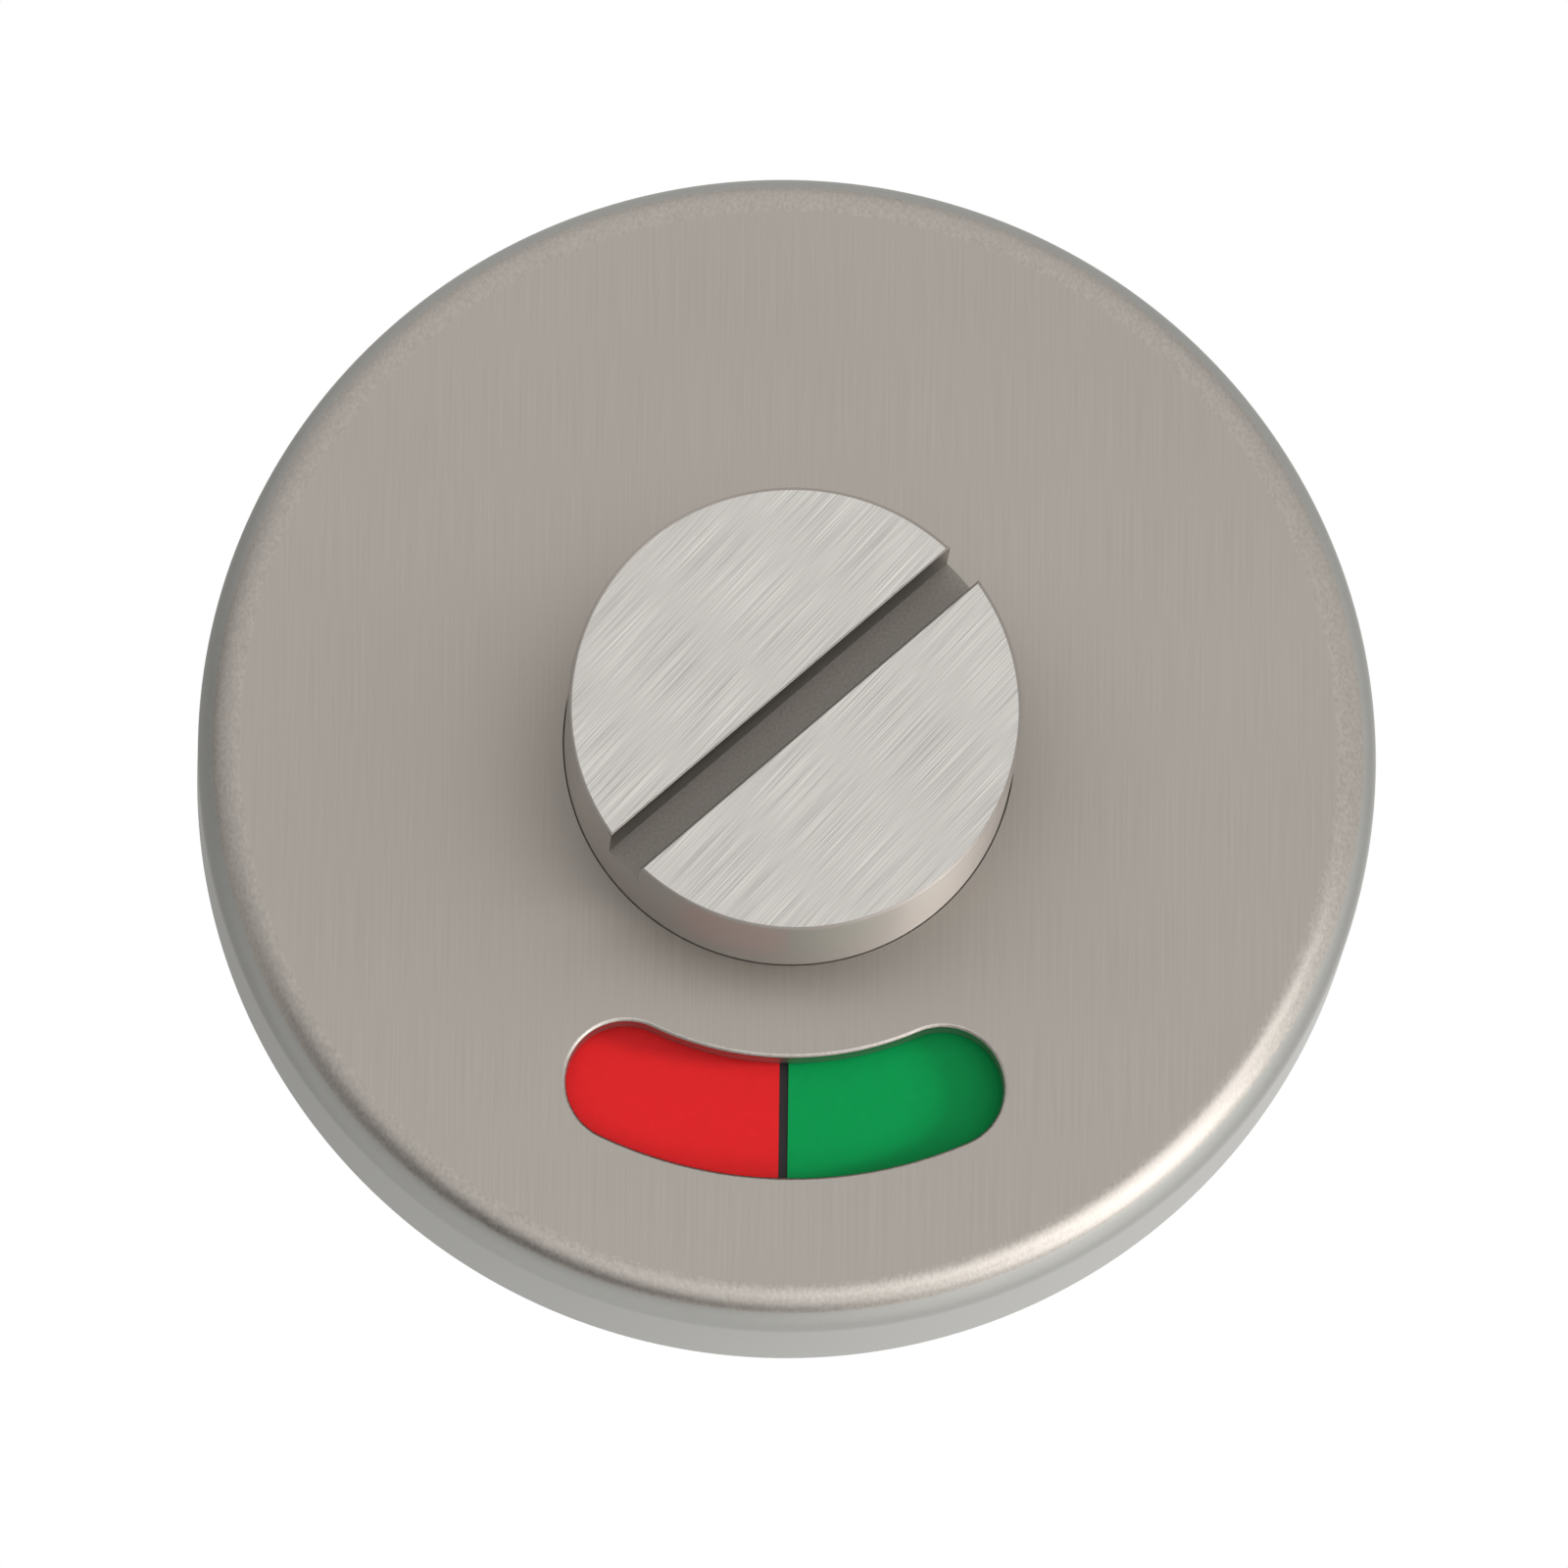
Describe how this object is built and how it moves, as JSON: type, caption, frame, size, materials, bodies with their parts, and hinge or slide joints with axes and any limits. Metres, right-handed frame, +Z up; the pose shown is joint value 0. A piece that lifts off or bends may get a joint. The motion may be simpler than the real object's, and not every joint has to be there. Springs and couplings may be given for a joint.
{
  "type": "toilet door knob",
  "caption": "Round toilet door rose with a coin-release knob on a square spindle and a curved window that shows red or green as the knob turns.",
  "frame": {"origin": "centre of the rose's back, on the face of the door", "axes": "+Y into the door, along the spindle, -Y towards the user, +Z up the door, with the indicator window at the bottom"},
  "size_m": [0.052, 0.0604, 0.052],
  "materials": {
    "satin_stainless_cover": "satin, fine vertical grain",
    "brushed_knob": "brushed face, polished side",
    "black_plate": "moulded glass-filled nylon",
    "acetal_bush": "moulded acetal, natural white",
    "zinc_pillars": "bright zinc plate",
    "spring_wire": "drawn spring wire",
    "spring_washer_steel": "oiled spring steel",
    "black_disc": "moulded acetal, black",
    "red_foil": "smooth printed film, plain red",
    "green_foil": "smooth printed film, plain green",
    "washer_steel": "bright steel",
    "clip_steel": "phosphated spring steel",
    "spindle_steel": "zinc plated bar",
    "pin_steel": "oiled spring steel"
  },
  "bodies": {
    "rose": {"cover_rose": "satin_stainless_cover", "base_plate": "black_plate", "knob_bush": "acetal_bush", "threaded_pillars": "zinc_pillars", "snap_ring": "spring_wire", "spring_washer": "spring_washer_steel"},
    "knob": {"release_knob": "brushed_knob", "indicator_disc": "black_disc", "red_label": "red_foil", "green_label": "green_foil", "thrust_washer": "washer_steel", "circlip": "clip_steel", "square_spindle": "spindle_steel", "spindle_pin": "pin_steel"}
  },
  "joints": [
    {"name": "knob_turn", "type": "hinge", "parent": "rose", "child": "knob", "pos_m": [0, 0, 0], "axis": [0, -1, 0], "range_deg": [-45, 45]}
  ]
}
